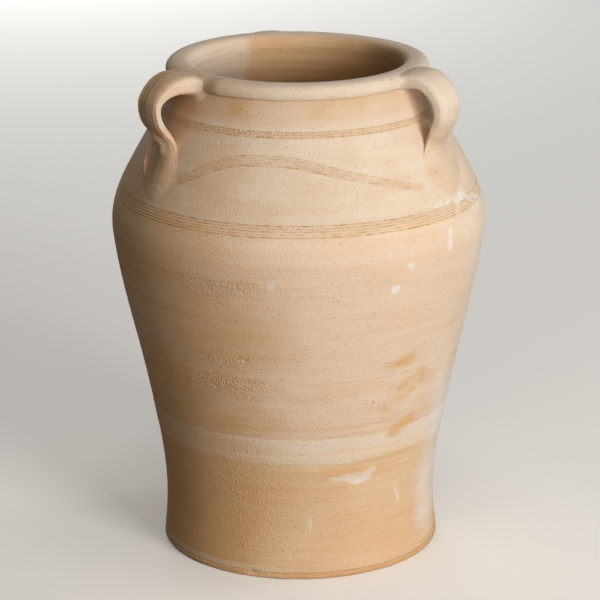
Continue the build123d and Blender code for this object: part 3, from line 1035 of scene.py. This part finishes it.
strap(
    "handle_back",
    back_azimuth,
    [
        (118, 483, 20, 20, 18), (146, 486, 18, 18, 14), (169.5, 467, 16, 16, 12), (159.5, 443.5, 16, 16, 11.5),
        (*on_wall(424, 2.6), 22, 22, 10), (*on_wall(411, -0.3), 25, 25, 7.6), (*on_wall(399, -1.0), 26, 26, 7),
        (*on_wall(386, -2.4), 24, 24, 5.6), (*on_wall(378, -3.8), 18, 18, 5.6),
    ],
    fillets=(9, 6, 6, 6),
    lines=[(-0.5, 0.4, 0.1, 0.6), (0.45, 0.35, 0.1, 0.6)],
    thumb=0,
)

# Slip: thin wet clay brushed on the scored joints before the rings and the handles were pressed home.
# It stays out of sight in the bottom of each groove and under the handles' ends.
slip_clay = terracotta("slip_clay", colour(228, 190, 150), colour(206, 152, 104))
for node_name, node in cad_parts.items():
    if node_name.startswith("slip_"):
        node.data.materials.clear()
        node.data.materials.append(slip_clay)

# Studio: a wide pale floor that throws little light back. A large soft key light stands at the front right, with weaker
# ones at the right side, above and behind, and a warm fill in front. The camera is at the photograph's height and
# distance. Lengths are in metres here.
floor_half = 9.0
floor_white = colour(236, 233, 228)
floor_mesh = bpy.data.meshes.new("studio_floor")
floor_corners = [(side * floor_half, end * floor_half, 0) for side, end in ((-1, -1), (1, -1), (1, 1), (-1, 1))]
floor_mesh.from_pydata(floor_corners, [], [(0, 1, 2, 3)])
studio_floor = bpy.data.objects.new("studio_floor", floor_mesh)
bpy.context.scene.collection.objects.link(studio_floor)
floor_paint = bpy.data.materials.new("floor_paint")
floor_paint.use_nodes = True
floor_nodes, floor_link = floor_paint.node_tree.nodes, floor_paint.node_tree.links.new
floor_shader = floor_nodes["Principled BSDF"]
floor_shader.inputs["Roughness"].default_value = 0.9
floor_shader.inputs["Specular IOR Level"].default_value = 0.1
seen = floor_nodes.new("ShaderNodeLightPath")
seen_directly = floor_nodes.new("ShaderNodeMath")
seen_directly.operation = "MAXIMUM"
floor_link(seen.outputs["Is Camera Ray"], seen_directly.inputs[0])
floor_link(seen.outputs["Is Glossy Ray"], seen_directly.inputs[1])
floor_tone = floor_nodes.new("ShaderNodeMix")
floor_tone.data_type = "RGBA"
floor_link(seen_directly.outputs[0], floor_tone.inputs[0])
floor_tone.inputs[6].default_value = colour(130, 128, 126)
floor_tone.inputs[7].default_value = floor_white
floor_link(floor_tone.outputs[2], floor_shader.inputs["Base Color"])
floor_glow = floor_nodes.new("ShaderNodeMath")
floor_glow.operation = "MULTIPLY"
floor_glow.inputs[1].default_value = 0.22
floor_link(seen.outputs["Is Camera Ray"], floor_glow.inputs[0])
floor_shader.inputs["Emission Color"].default_value = floor_white
floor_link(floor_glow.outputs[0], floor_shader.inputs["Emission Strength"])
floor_mesh.materials.append(floor_paint)
jar_middle = 0.27


def soft_light(name, azimuth, elevation, distance, size, power, tone):
    """Square area light aimed at the middle of the jar from an azimuth and an elevation."""
    lamp = bpy.data.lights.new(name, "AREA")
    lamp.size = size
    lamp.energy = power
    lamp.color = tone
    light = bpy.data.objects.new(name, lamp)
    bpy.context.scene.collection.objects.link(light)
    turn = Matrix.Rotation(np.radians(azimuth), 4, "Z") @ Matrix.Rotation(np.radians(90 - elevation), 4, "X")
    light.matrix_world = Matrix.Translation((0, 0, jar_middle)) @ turn @ Matrix.Translation((0, 0, distance))


soft_light("key_light", 34.5, 14, 3.2, 1.2, 71, (1.0, 0.99, 0.98))
soft_light("side_light", 106, 12, 3.2, 1.0, 17, (1.0, 1.0, 1.0))
soft_light("top_light", 30, 80, 3.2, 1.6, 16, (1.0, 1.0, 1.0))
soft_light("fill_light", -3, 26, 3.4, 1.6, 15, (1.0, 0.80, 0.58))
soft_light("back_light", -170, 14, 3.2, 1.6, 24, (0.96, 0.98, 1.0))

world = bpy.data.worlds.new("studio_air")
bpy.context.scene.world = world
world.use_nodes = True
air = world.node_tree.nodes["Background"]
air.inputs["Color"].default_value = (0.9, 0.95, 1.0, 1)
air.inputs["Strength"].default_value = 0.07
bpy.context.scene.view_settings.view_transform = "Standard"

lens = bpy.data.cameras.new("photo_lens")
lens.sensor_width = 36
lens.lens = 186.9
lens.clip_end = 50
camera = bpy.data.objects.new("photo_camera", lens)
bpy.context.scene.collection.objects.link(camera)
camera_place, camera_pitch, camera_roll = (0.0009, -3.0024, 1.2014), np.radians(72.366), np.radians(-0.37)
camera.matrix_world = (
    Matrix.Translation(camera_place) @ Matrix.Rotation(camera_pitch, 4, "X") @ Matrix.Rotation(camera_roll, 4, "Z")
)
bpy.context.scene.camera = camera
